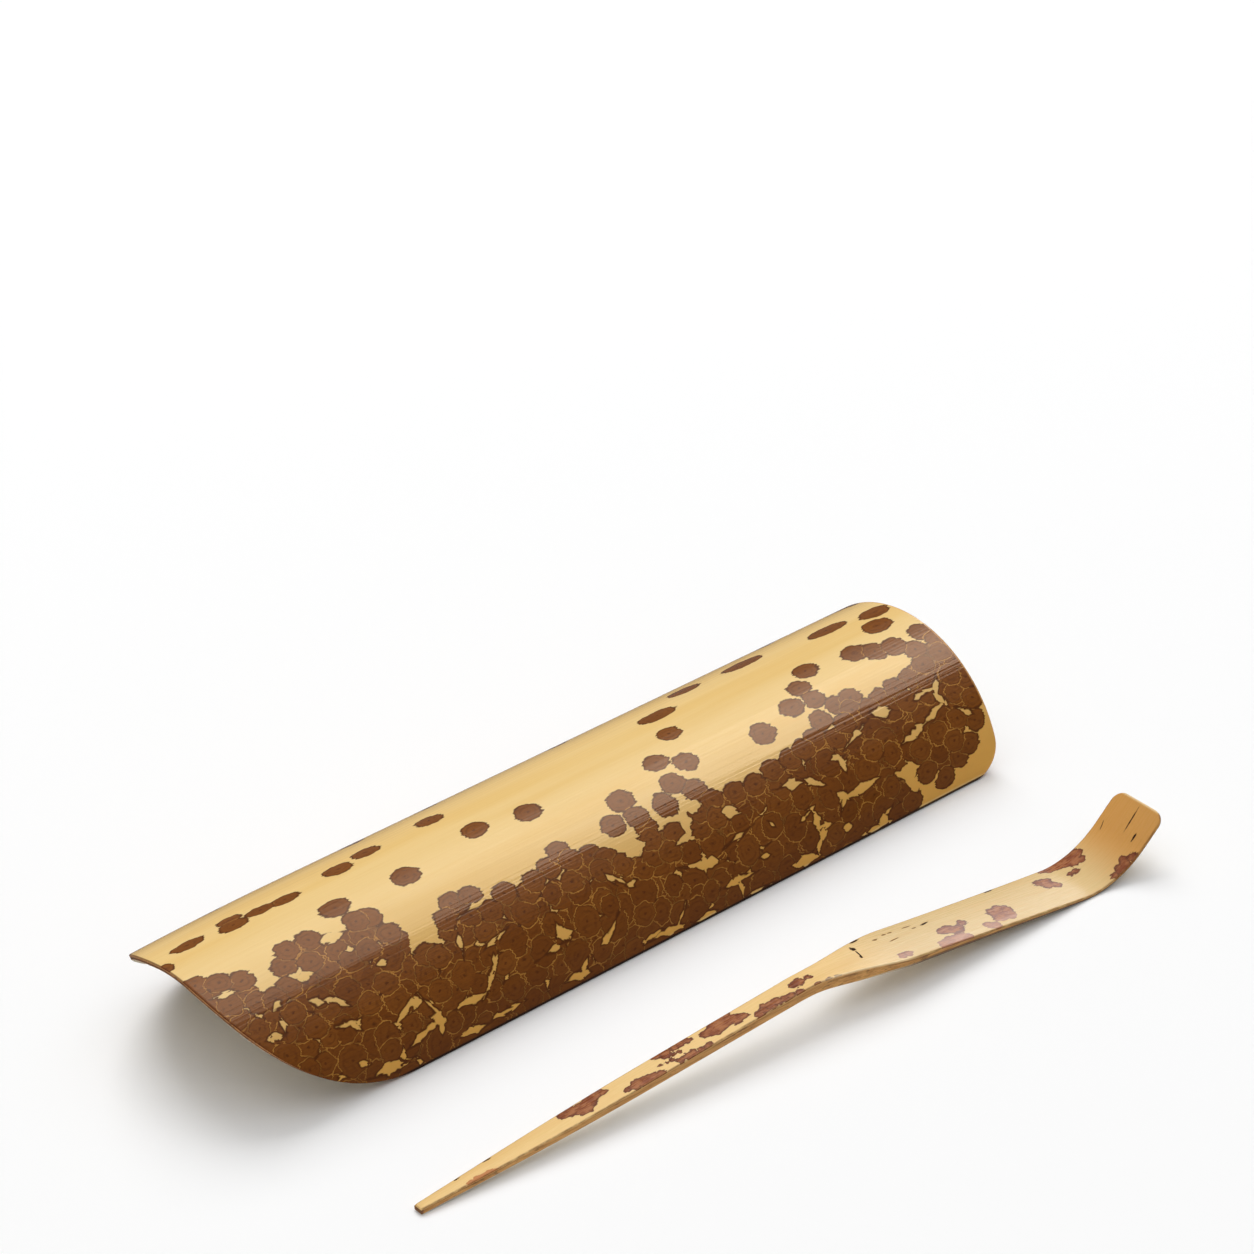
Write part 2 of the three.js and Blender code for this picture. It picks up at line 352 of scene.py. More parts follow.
    "rimShadeColour": shade(40, 25, 14),
    "spotColour": shade(112, 60, 16),
    "spotPale": shade(134, 78, 26),
    "spotRim": shade(72, 34, 8),
    "seamColour": shade(186, 128, 56),
}

troughLow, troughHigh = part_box("leaf_trough")
squareEnd, tongueEnd = troughHigh.x, troughLow.x
axisY = (troughLow.y + troughHigh.y) / 2
culmRadius = (troughHigh.y - troughLow.y) / 2 / math.sin(trough["archHalfAngle"])
rimDrop = culmRadius * math.cos(trough["archHalfAngle"])  # the culm's axis lies this far under the table
fullArc = culmRadius * trough["archHalfAngle"]
roundStart = tongueEnd + trough["tongueLength"]
cornerStart = squareEnd - trough["cornerRadius"]


def troughOutline(column):  # where a column stands along the culm, and the half arc that is left there
    tongueColumns, straightColumns, cornerColumns = trough["columns"]
    if column <= tongueColumns:
        turn = math.pi / 2 * column / tongueColumns
        return (roundStart - trough["tongueLength"] * math.cos(turn),
                fullArc - trough["tongueArc"] * (1 - math.sin(turn)))
    column -= tongueColumns
    if column <= straightColumns:
        return between(roundStart, cornerStart, column / straightColumns), fullArc
    turn = math.pi / 2 * (column - straightColumns) / cornerColumns
    return (cornerStart + trough["cornerRadius"] * math.sin(turn),
            fullArc - trough["cornerRadius"] * (1 - math.cos(turn)))


def reachFromCut(along, arc):  # distance in from the cut ends and from the rim, on the flat sheet
    arc = abs(arc)
    back = max(roundStart - along, 0)
    over = max(arc - (fullArc - trough["tongueArc"]), 0) * trough["tongueLength"] / trough["tongueArc"]
    toTongue = trough["tongueLength"] - math.hypot(back, over)
    out, up = along - cornerStart, arc - (fullArc - trough["cornerRadius"])
    toSquare = squareEnd - along
    if out > 0 and up > 0:
        toSquare = trough["cornerRadius"] - math.hypot(out, up)
    return max(min(toTongue, toSquare), 0), max(fullArc - arc, 0)


def fromSpot(flat, spot):  # 1 on the outline of a listed spot
    return math.hypot((flat[0] - spot[0]) / spot[2], (flat[1] - spot[1]) / spot[3])


def spotsApart(spot, other):  # 1 where two listed spots just touch
    long, wide = other[2] + spot[2], other[3] + spot[3]
    return math.hypot((spot[0] - other[0]) / long, (spot[1] - other[1]) / wide)


def sortSpots():  # lots of listed spots, none of which touch others of their own lot
    lots = []
    edging = [spot + trough["edgeHalfSize"] for spot in trough["edgeSpots"]]
    for x, turn, long, wide in edging + list(trough["spots"]):
        spot = (x, math.radians(turn) * culmRadius / mm, long, wide)
        for lot in lots:
            if all(spotsApart(spot, other) > trough["lotSpacing"] for other in lot):
                lot.append(spot)
                break
        else:
            lots.append([spot])
    return lots


def gapPlace(flat, gap):  # a place on the flat sheet, measured along and across a gap in its half sizes
    x, turn, long, wide, slant = gap
    away, over = flat[0] - x, flat[1] - math.radians(turn) * culmRadius / mm
    slant = math.radians(slant)
    return ((away * math.cos(slant) + over * math.sin(slant)) / long,
            (over * math.cos(slant) - away * math.sin(slant)) / wide, wide)


def gapDepth(place):  # how far inside a gap a place lies, in mm
    curve = trough["gapCurve"]
    return (1 - (abs(place[0]) ** curve + abs(place[1]) ** curve) ** (1 / curve)) * place[2]


spotLots = sortSpots()
print("hand-placed spots in", len(spotLots), "lots")


def makeTrough(materials):
    bm = flatSlab(sum(trough["columns"]), trough["rows"])
    skinMap = bm.loops.layers.uv.new("skinMap")
    cutReach = bm.verts.layers.float.new("cutReach")
    toTable = bm.verts.layers.float.new("toTable")
    sideHeight = bm.verts.layers.float.new("sideHeight")
    lotLayers = [bm.loops.layers.float_vector.new("spotLot%d" % number) for number in range(len(spotLots))]
    gapLayers = [bm.loops.layers.float_vector.new("gap%d" % number) for number in range(2)]
    flatPlace = {}
    for vert in bm.verts:
        column, row, layer = vert.co
        along, halfArc = troughOutline(column)
        share = spreadRow(row)
        endReach, rimReach = reachFromCut(along, share * halfArc)
        reach = min(endReach, rimReach)
        tongueRun = max(roundStart - along, 0) / trough["tongueLength"]
        radius = culmRadius - trough["tongueDip"] * tongueRun ** 2
        if layer > 0.5:
            endDrop = edgeDrop(endReach, trough["skinRounding"])
            radius -= max(endDrop, edgeDrop(rimReach, trough["rimRounding"]))
        else:
            thickening = ease(along, tongueEnd, tongueEnd + trough["lipRun"])
            wall = between(trough["lipWall"], trough["wall"], thickening)
            pared = (1 - ease(reach, 0, trough["lipBevel"])) * ease(tongueRun, 0.02, 0.3)
            wall = between(wall, min(wall, trough["lipEdge"]), pared)
            radius -= wall - edgeDrop(reach, trough["innerRounding"])
        angle = math.acos(rimDrop / radius) * halfArc / fullArc * share
        vert.co = (along, axisY + radius * math.sin(angle), radius * math.cos(angle) - rimDrop)
        flatPlace[vert] = ((along - squareEnd) / mm, -share * halfArc / mm)
        vert[sideHeight] = layer
        vert[cutReach] = endReach / mm
        vert[toTable] = rimReach / mm
    for face in bm.faces:
        places = [flatPlace[loop.vert] for loop in face.loops]
        for loop, flat in zip(face.loops, places):
            loop[skinMap].uv = flat
        if face.material_index == 0:
            middle = [sum(part) / len(places) for part in zip(*places)]
            for layer, lot in zip(lotLayers, spotLots):  # each face measures from the nearest spot of the lot
                x, y, long, wide = min(lot, key=lambda spot: fromSpot(middle, spot))
                for loop, flat in zip(face.loops, places):
                    loop[layer] = ((flat[0] - x) / long, (flat[1] - y) / wide, (long + wide) / 2)
            nearest = sorted(trough["gaps"], key=lambda gap: gapDepth(gapPlace(middle, gap)))[-2:]
            for layer, gap in zip(gapLayers, nearest):
                for loop, flat in zip(face.loops, places):
                    loop[layer] = gapPlace(flat, gap)
    finishPiece("leafTrough", bm, materials, "trough", "leaf_trough")


# one lot of round spots that crowd the near side and, turned end for end, the far side
def makeSpotLayer():
    tree, given, sent = newGroup(
        "spotLayer",
        [("Place", "Vector", None), ("Shift", "Vector", None), ("Turn", "Float", 0),
         ("Cell", "Float", 6.2), ("Radius", "Float", 2.75)],
        [("Depth", "Float"), ("Tone", "Float"), ("Middle", "Float")])
    turned = turnedBy(tree, vectorCalc(tree, "ADD", given["Place"], given["Shift"]), given["Turn"])
    scale = calc(tree, "DIVIDE", 1, given["Cell"])
    cells = addNode(tree, "ShaderNodeTexVoronoi", {"Vector": turned, "Scale": scale, "Randomness": 0.65},
                    voronoi_dimensions="2D").outputs
    back = turnedBy(tree, cells["Position"], given["Turn"], invert=True)
    centre = splitUp(tree, vectorCalc(tree, "SUBTRACT", back, given["Shift"]))
    chance = addNode(tree, "ShaderNodeSeparateColor", {0: cells["Color"]}).outputs
    length, reach = (squareEnd - tongueEnd) / mm, 40

    def crowdEdge(along):
        share = calc(tree, "MULTIPLY_ADD", along, 1 / length, 1)
        curve = addNode(tree, "ShaderNodeFloatCurve", {"Value": share})
        points = curve.mapping.curves[0].points
        for x, arc in trough["crowdEdge"][1:-1]:
            points.new(1 + x / length, arc / reach)
        points[0].location = (0, trough["crowdEdge"][0][1] / reach)
        points[len(points) - 1].location = (1, trough["crowdEdge"][-1][1] / reach)
        for point in points:
            point.handle_type = "VECTOR"
        curve.mapping.update()
        return calc(tree, "MULTIPLY", curve.outputs[0], reach)

    near = calc(tree, "SUBTRACT", centre["Y"], crowdEdge(centre["X"]))
    flipped = calc(tree, "MULTIPLY_ADD", centre["X"], -1, -length)
    far = calc(tree, "SUBTRACT", calc(tree, "MULTIPLY_ADD", centre["Y"], -1, -9), crowdEdge(flipped))
    present = calc(tree, "MAXIMUM", fade(tree, near, 2.9, 3.7), fade(tree, far, 1.6, 2.6))
    bareEnd = calc(tree, "MULTIPLY", fade(tree, centre["X"], -4.5, -3.5), fade(tree, centre["Y"], 14, 18))
    bareCorner = calc(tree, "MULTIPLY", fade(tree, centre["X"], -11, -9), fade(tree, centre["Y"], 26, 28))
    bareRim = calc(tree, "MULTIPLY", fade(tree, centre["X"], -24, -21), fade(tree, centre["Y"], 30, 31.5))
    bare = calc(tree, "MAXIMUM", bareEnd, calc(tree, "MAXIMUM", bareCorner, bareRim))
    present = calc(tree, "SUBTRACT", present, bare)
    radius = calc(tree, "MULTIPLY", given["Radius"], fade(tree, chance["Red"], 0, 1, 0.78, 1.14))
    middle = calc(tree, "DIVIDE", cells["Distance"], scale)
    depth = calc(tree, "SUBTRACT", radius, middle)
    feed(tree, sent["Depth"], calc(tree, "SUBTRACT", depth, calc(tree, "MULTIPLY_ADD", present, -9, 9)))
    feed(tree, sent["Tone"], chance["Green"])
    feed(tree, sent["Middle"], middle)
    return tree


# one lot of the listed spots, read from the mesh
def makeSpotLot():
    tree, given, sent = newGroup(
        "spotLot", [("Spot", "Vector", None), ("Slip", "Float", 0)],
        [("Depth", "Float"), ("Middle", "Float")])
    spot = splitUp(tree, given["Spot"])
    slip = calc(tree, "DIVIDE", given["Slip"], calc(tree, "MAXIMUM", spot["Z"], 1))
    along = calc(tree, "ADD", spot["X"], slip)
    squares = [calc(tree, "MULTIPLY", part, part) for part in (along, spot["Y"])]
    away = calc(tree, "SQRT", calc(tree, "ADD", *squares))
    feed(tree, sent["Depth"], calc(tree, "MULTIPLY", calc(tree, "SUBTRACT", 0.96, away), spot["Z"]))
    feed(tree, sent["Middle"], calc(tree, "MULTIPLY", away, spot["Z"]))
    return tree


# a bare channel between round spots, read from the mesh
def makeGap():
    tree, given, sent = newGroup(
        "gap", [("Gap", "Vector", None), ("Slip", "Float", 0), ("Swell", "Float", 0)],
        [("Depth", "Float")])
    gap = splitUp(tree, given["Gap"])
    along = calc(tree, "ABSOLUTE", calc(tree, "MULTIPLY_ADD", given["Slip"], 0.3, gap["X"]))
    across = calc(tree, "ABSOLUTE", calc(tree, "MULTIPLY_ADD", given["Swell"], 1.3, gap["Y"]))
    curve = trough["gapCurve"]
    reach = calc(tree, "ADD", calc(tree, "POWER", along, curve), calc(tree, "POWER", across, curve))
    reach = calc(tree, "POWER", reach, 1 / curve)
    feed(tree, sent["Depth"], calc(tree, "MULTIPLY", calc(tree, "SUBTRACT", 1, reach), gap["Z"]))
    return tree


def paintSpottedSkin():
    material, tree, shader, place = newMaterial("spottedSkin", 0.12)
    threads = useGroup(tree, fibre, Place=place)
    spread = splitUp(tree, place)
    along, arc = spread["X"], spread["Y"]
    toTable, toEnd = attributeOf(tree, "toTable"), attributeOf(tree, "cutReach")
    skin = layered(
        tree, trough["crownColour"],
        (fade(tree, threads["Band"], 0.4, 0.66), trough["bandColour"]),
        (fade(tree, calc(tree, "ABSOLUTE", arc), 4, 33), trough["rimColour"]),
        (fade(tree, threads["Thread"], 0.35, 0.75, 0, 0.1), trough["rimColour"]),
        # painted highlight: a pale line just above the long rims
        (fade(tree, toTable, 1.1, 0.8, 0, 0.6), trough["crownColour"]))
    creep = useGroup(tree, fray, Place=place)
    shift = addNode(tree, "ShaderNodeCombineXYZ", {"X": creep["Slip"]}).outputs[0]
    crept = vectorCalc(tree, "ADD", place, shift)
    mottle = noiseAt(tree, place, (0.5, 0.9, 1), 3, 0.6, (3, 3, 0))
    tone = fade(tree, noiseAt(tree, place, (0.16, 0.16, 1), 0, 0.5, (4, 6, 0)), 0.2, 0.8, 0.6, 1.3)
    spotLayer, spotLot = makeSpotLayer(), makeSpotLot()
    lots = []
    for shift, turn in trough["crowdLots"]:
        lot = useGroup(tree, spotLayer, Place=crept, Shift=shift, Turn=math.radians(turn))
        lots.append((lot["Depth"], lot["Tone"], lot["Middle"]))
    for number in range(len(spotLots)):
        spot = attributeOf(tree, "spotLot%d" % number, "Vector")
        lot = useGroup(tree, spotLot, Spot=spot, Slip=creep["Slip"])
        lots.append((lot["Depth"], tone, lot["Middle"]))
    outline = calc(tree, "MULTIPLY_ADD", creep["Nibble"], 0.45, creep["Swell"])
    top, union, shadeOf, middle = None, None, None, None
    for depth, lotTone, lotMiddle in lots:  # later lots lie over earlier ones
        depth = calc(tree, "ADD", depth, outline)
        if top is None:
            top, union, shadeOf, middle = depth, depth, lotTone, lotMiddle
            continue
        covers = fade(tree, depth, -0.04, 0.04)
        top = mixValue(tree, covers, top, depth)
        shadeOf = mixValue(tree, covers, shadeOf, lotTone)
        middle = mixValue(tree, covers, middle, lotMiddle)
        union = calc(tree, "MAXIMUM", union, depth)
    gapGroup, holes = makeGap(), []
    for number in range(2):
        gap = attributeOf(tree, "gap%d" % number, "Vector")
        holes.append(useGroup(tree, gapGroup, Gap=gap, Slip=creep["Slip"], Swell=creep["Swell"])["Depth"])
    hole = calc(tree, "SMOOTH_MAX", *holes, 0.35)
    hole = calc(tree, "ADD", hole, fade(tree, middle, 0.8, 2.6, -0.25, 0.2))  # bends round the spots
    solid = calc(tree, "SUBTRACT", calc(tree, "MULTIPLY", creep["Nibble"], 0.35), hole)
    top, union = calc(tree, "MINIMUM", top, solid), calc(tree, "MINIMUM", union, solid)
    paleness = calc(tree, "MULTIPLY_ADD", shadeOf, 0.5, calc(tree, "MULTIPLY", mottle, 0.5))
    ring = calc(tree, "COSINE", calc(tree, "MULTIPLY", top, 5.6))
    rings = calc(tree, "MULTIPLY", fade(tree, ring, -0.2, 1, 0, 0.35), fade(tree, mottle, 0.38, 0.62))
    seam = calc(tree, "MULTIPLY", fade(tree, union, 0.25, 0.5), fade(tree, top, 0.3, 0.14))
    patchy = noiseAt(tree, place, (0.25, 0.25, 1), 1, 0.5, (8, 8, 0))
    seam = calc(tree, "MULTIPLY", seam, fade(tree, patchy, 0.3, 0.6, 0.25, 0.9))
    rim = trough["spotRim"]
    spot = layered(
        tree, trough["spotColour"],
        (paleness, trough["spotPale"]),
        (rings, rim),
        (fade(tree, threads["Thread"], 0.45, 0.75, 0, 0.25), rim),
        (fade(tree, middle, 0.36, 0.14, 0, 0.6), rim),
        (fade(tree, top, 0.5, 0.2, 0, 0.7), rim),
        (seam, trough["seamColour"]),
        # painted shade: spots darker towards the near rim, where less light falls
        (fade(tree, arc, 24, 35, 0, 0.25), rim))
    # a pale line along the square cut end: partly bare skin where the spots stop, partly a painted highlight
    # on the rounded edge
    bareEdgeAndHighlight = calc(tree, "MULTIPLY", fade(tree, toEnd, 0.5, 0.3, 0, 0.75), fade(tree, along, -40, -30))
    # painted shade: a dark line on the rounded cut ends of the skin, on its upper part
    edgeShadeLine = calc(tree, "MULTIPLY", fade(tree, toEnd, 0.2, 0.1, 0, 0.7), fade(tree, arc, 26, 18))
    colour = layered(
        tree, skin,
        (fade(tree, union, -0.1, 0.12), spot),
        (bareEdgeAndHighlight, trough["edgeColour"]),
        (edgeShadeLine, trough["edgeShadeColour"]),
        # painted shade: a near-black line along the long rims where they meet the table, partly a darkened
        # cut rim
        (fade(tree, toTable, 0.72, 0.56, 0, 0.95), trough["rimShadeColour"]))
    shader["Specular IOR Level"].default_value = 0.22
    gloss = fade(tree, threads["Thread"], 0.3, 0.8, 0.08, 0.16)
    finishPaint(tree, shader, colour, gloss, threads["Ridge"], 0.06 * mm)
    return material


def paintInnerWall():
    material, tree, shader, place = newMaterial("innerWall", 0.6)
    threads = useGroup(tree, fibre, Place=place)
    colour = layered(
        tree, shade(238, 226, 202),
        (fade(tree, threads["Band"], 0.35, 0.7), shade(226, 208, 176)),
        (fade(tree, threads["Thread"], 0.5, 0.75, 0, 0.5), shade(188, 160, 118)))
    dullness = fade(tree, threads["Thread"], 0.3, 0.8, 0.5, 0.72)
    finishPaint(tree, shader, colour, dullness, threads["Thread"], 0.06 * mm)
    return material


# sawn or pared bamboo: pale ground with the dark ends of the fibre bundles, and a dark line from low to high
def paintCutEdge(name, pale, deep, bundle, low, high):
    material, tree, shader, place = newMaterial(name, 0.5)
    solid = addNode(tree, "ShaderNodeTexCoord").outputs["Object"]
    grain = stretched(tree, solid, (200, 1400, 1400))
    cells = addNode(tree, "ShaderNodeTexVoronoi", {"Vector": grain, "Scale": 1, "Randomness": 0.9}).outputs
    dots = fade(tree, cells["Distance"], 0.42, 0.22)
    tone = noiseAt(tree, solid, (60, 420, 420), 3, 0.6)
    level = attributeOf(tree, "sideHeight")  # 0 at the inner wall, 1 at the skin
    line = calc(tree, "MULTIPLY", fade(tree, level, low, low + 0.12), fade(tree, level, high, high - 0.06))
    colour = layered(
        tree, pale,
        (fade(tree, tone, 0.35, 0.68), deep),
        (calc(tree, "MULTIPLY", dots, 0.6), bundle),
        (calc(tree, "MULTIPLY", line, 0.75), shade(84, 42, 18)))
    finishPaint(tree, shader, colour, fade(tree, tone, 0.3, 0.7, 0.4, 0.6), dots, 0.04 * mm)
    return material


makeTrough([
    paintSpottedSkin(),
    paintInnerWall(),
    paintCutEdge("lipEdge", shade(204, 140, 72), shade(172, 112, 54), shade(120, 72, 34), 0.08, 0.6),
])

# the slim hand scoop that draws the leaf out
scoop = {
    "spacing": 29.6 * mm,
    "tailInset": 6.4 * mm,
    "yaw": math.radians(-1.9),
    "handleLength": 83 * mm,
    "bladeLength": 68.9 * mm,
    "tipLength": 15.3 * mm,
    "bladeFall": math.radians(5.65),
    "tipRise": math.radians(42),
    "neckRadius": 40 * mm,
    "bendRadius": 19 * mm,
    "tailWidth": 1.8 * mm,
    "handleWidth": 4.7 * mm,
    "bladeWidth": 10.4 * mm,
    "tipWidth": 11.6 * mm,
    "tipCornerRadius": 2.4 * mm,
    "tailTaperLength": 48 * mm,
    "flareLength": 22 * mm,
    "tailThickness": 1.15 * mm,
    "handleThickness": 1.85 * mm,
    "tipThickness": 0.6 * mm,
    "shoulderSwell": 0.45 * mm,
    "shoulderRun": 10 * mm,
    "bladeTaperLength": 60 * mm,
    "skinRadius": 40 * mm,
    "topRounding": 0.2 * mm,
    "bellyRounding": 0.15 * mm,
    "bladeParing": 0.7 * mm,  # rounding of the blade's lower edges
    "paringRun": (7 * mm, 18 * mm),  # where it begins and is full, past the handle
    "columns": (400, 12),  # the length, the rounded tip corners
    "rows": 28,
    # stained patches, in lobes: mm from the tail, mm across to the near side, radius
    "patches": (
        (10, 1.5, 0.8), (11.8, 1.5, 1), (13.4, 1.7, 1), (15, 1.8, 0.7),
        (31.4, -1.2, 1), (33, -1, 1.3), (34.8, -0.3, 1.7),
        (36.4, -0.9, 1.3), (38, -1.3, 1.2), (39.4, -1.4, 1),
        (43.2, 1.2, 0.8), (44.6, 1.3, 1.1), (46.2, 1.5, 1.4), (48, 1.8, 1.3), (49.8, 2, 0.9),
        (52, -2, 0.9), (53.6, -1.4, 1.2), (54.4, -0.3, 0.6),
        (55.6, -1.6, 0.9), (57, -1.6, 0.9), (58.4, -1.4, 0.9),
        (51, 0.3, 0.4), (52.2, 0.5, 0.4), (53.2, 0.5, 0.4), (55.6, -0.2, 0.45),
        (54.4, 1.8, 0.8), (55.8, 1.7, 1), (57.2, 1.8, 1), (58.6, 1.9, 0.8), (60.2, 1.8, 0.7),
        (61.6, -0.6, 0.9), (63, -0.3, 1.3), (64.6, -0.8, 1.7),
        (66.6, -1, 1.7), (67.8, -0.1, 1.4), (69.4, 0.2, 0.9),
        (71.6, 1.9, 0.9), (72.8, 1.6, 0.9), (73.4, 0.4, 0.6),
        (74.6, 1.3, 1.1), (76, 1.2, 1), (77.4, 1.6, 0.9),
        (78.8, 1.7, 0.8), (80.2, 2.1, 0.7), (80.4, -0.2, 0.6), (81.8, 0, 1.1), (83.8, -0.1, 0.7),
        (84, 2.6, 0.7), (86, 2.7, 0.7), (88, 3, 0.6),
        (102.2, 3.7, 0.85), (103.3, 3.7, 0.9),
        (113.8, 1.4, 1.1), (115.4, 1.6, 1.4), (117, 2, 1.2), (118.8, 0.9, 0.9),
        (111.4, 4.6, 1.3), (113.4, 4.3, 1.5), (115.4, 4.4, 1.5), (116.8, 4.8, 0.9),
        (126, 0.9, 1.1), (127.6, 0.8, 1.3), (129, 1.4, 1.2),
        (126.4, 2.6, 1.6), (128, 3, 1.3), (128.8, 3.6, 0.7),
        (122.6, 3.9, 1), (123.8, 4.4, 1),
        (140.4, -2.2, 1), (142, -1.8, 1.2), (141.4, -0.7, 1.2), (142.8, -0.1, 1),
        (144.6, -5.3, 0.9), (146, -5, 1.2), (147.6, -4.7, 1.4),
        (149.2, -4.3, 1.6), (150.8, -4, 1.7), (152.2, -4.4, 1.3),
        (151.8, -2.4, 0.9), (150.4, -3, 1.1), (147.6, -1.1, 0.7), (148.8, -0.9, 0.8),
        (152.8, 5.1, 0.8), (154.2, 4.8, 1.1), (155.4, 4.9, 1.2), (156, 4, 0.9), (157.4, 5, 1),
    ),
    "patchStretch": 1.15,  # a lobe's length against its width
    # short dark checks: mm from the tail, mm across, half length, half width, turn in degrees
    "checks": (
        (95.9, -2.1, 0.9, 0.55, 85), (95.6, -0.3, 1.4, 0.2, 100), (95.3, 0.6, 0.5, 0.3, 100),
        (98, -4.1, 1.5, 0.3, -11), (112.9, -2.3, 1.3, 0.27, -9), (163.2, 0.6, 3, 0.15, -3),
        (160.7, 3.1, 1.1, 0.22, 0), (159.6, -4.1, 1.3, 0.1, -17), (131, -5.1, 1.3, 0.25, 0),
        (15.4, -1.3, 1, 0.2, 0), (8.8, -1, 0.8, 0.16, 0),
    ),
    # paler dashes, in the same measures
    "dashes": (
        (101.4, -2.5, 0.7, 0.3, 0), (104, -3.1, 0.7, 0.24, 0), (105.4, -3.1, 0.6, 0.24, 0),
        (104.3, -0.8, 1.6, 0.17, -8), (109.3, -3.1, 1.3, 0.2, 0), (110.2, -2.1, 0.7, 0.2, 0),
    ),
    "topColour": shade(235, 198, 132),
    "bandColour": shade(228, 188, 118),
    "bladeColour": shade(210, 180, 122),
    "tipColour": shade(216, 153, 74),
    "tipEdge": shade(240, 208, 152),
    "tailPatch": shade(190, 122, 68),
    "patchColour": shade(130, 66, 32),
    "patchPale": shade(164, 102, 58),
    "patchFaded": shade(188, 136, 108),
    "patchRim": shade(88, 36, 16),
    "checkColour": shade(46, 24, 12),
    "dashColour": shade(104, 62, 22),
    "edgeColour": shade(142, 92, 44),
    # painted highlight on the neck's near top edge
    "neckHighlight": shade(248, 222, 176),
}

tailX, tailY = troughLow.x + scoop["tailInset"], troughLow.y - scoop["spacing"]
bendTurn = scoop["bladeFall"] + scoop["tipRise"]
bendDip = scoop["bendRadius"] * (
    math.cos((scoop["tipRise"] - scoop["bladeFall"]) / 2) / math.cos(bendTurn / 2) - 1)
neckHeight = scoop["bladeLength"] * math.tan(scoop["bladeFall"]) - bendDip
handleSlope = math.atan2(neckHeight, scoop["handleLength"])
neckTurn = handleSlope + scoop["bladeFall"]
neckCut = scoop["neckRadius"] * math.tan(neckTurn / 2)
bendCut = scoop["bendRadius"] * math.tan(bendTurn / 2)
scoopRuns = (  # length and turn of each run of the underside, from the tail
    (math.hypot(scoop["handleLength"], neckHeight) - neckCut, 0),
    (scoop["neckRadius"] * neckTurn, -neckTurn),
    (scoop["bladeLength"] / math.cos(scoop["bladeFall"]) - neckCut - bendCut, 0),
    (scoop["bendRadius"] * bendTurn, bendTurn),
    (scoop["tipLength"] - bendCut, 0),
)
scoopLength = sum(length for length, turn in scoopRuns)


def scoopPath(along):  # forward, up and slope of the underside
    forward, up, slope = 0, 0, handleSlope
    for length, turn in scoopRuns:
        step = min(along, length)
        if turn:
            radius, swing = length / turn, turn * step / length
            forward += radius * (math.sin(slope + swing) - math.sin(slope))
            up -= radius * (math.cos(slope + swing) - math.cos(slope))
            slope += swing
        else:
            forward += step * math.cos(slope)
            up += step * math.sin(slope)
        along -= step
        if along <= 0:
            break
    return forward, up, slope


def scoopHalfWidth(along):
    flareStart = scoop["handleLength"]
    flareEnd = flareStart + scoop["flareLength"]
    taper = math.sin(math.pi / 2 * min(along / scoop["tailTaperLength"], 1))
    handle = between(scoop["tailWidth"], scoop["handleWidth"], taper)
    blade = between(scoop["bladeWidth"], scoop["tipWidth"], ease(along, flareEnd, scoopLength))
    return between(handle, blade, ease(along, flareStart, flareEnd)) / 2


def scoopThickness(along):
    shoulder = scoop["handleLength"] + scoop["shoulderRun"]
    handle = between(scoop["tailThickness"], scoop["handleThickness"], ease(along, 0, scoop["handleLength"]))
    thinning = ease(along, shoulder, shoulder + scoop["bladeTaperLength"])
    plain = between(handle, scoop["tipThickness"], thinning)
    return plain + scoop["shoulderSwell"] * math.exp(-((along - shoulder) / scoop["shoulderRun"]) ** 2)


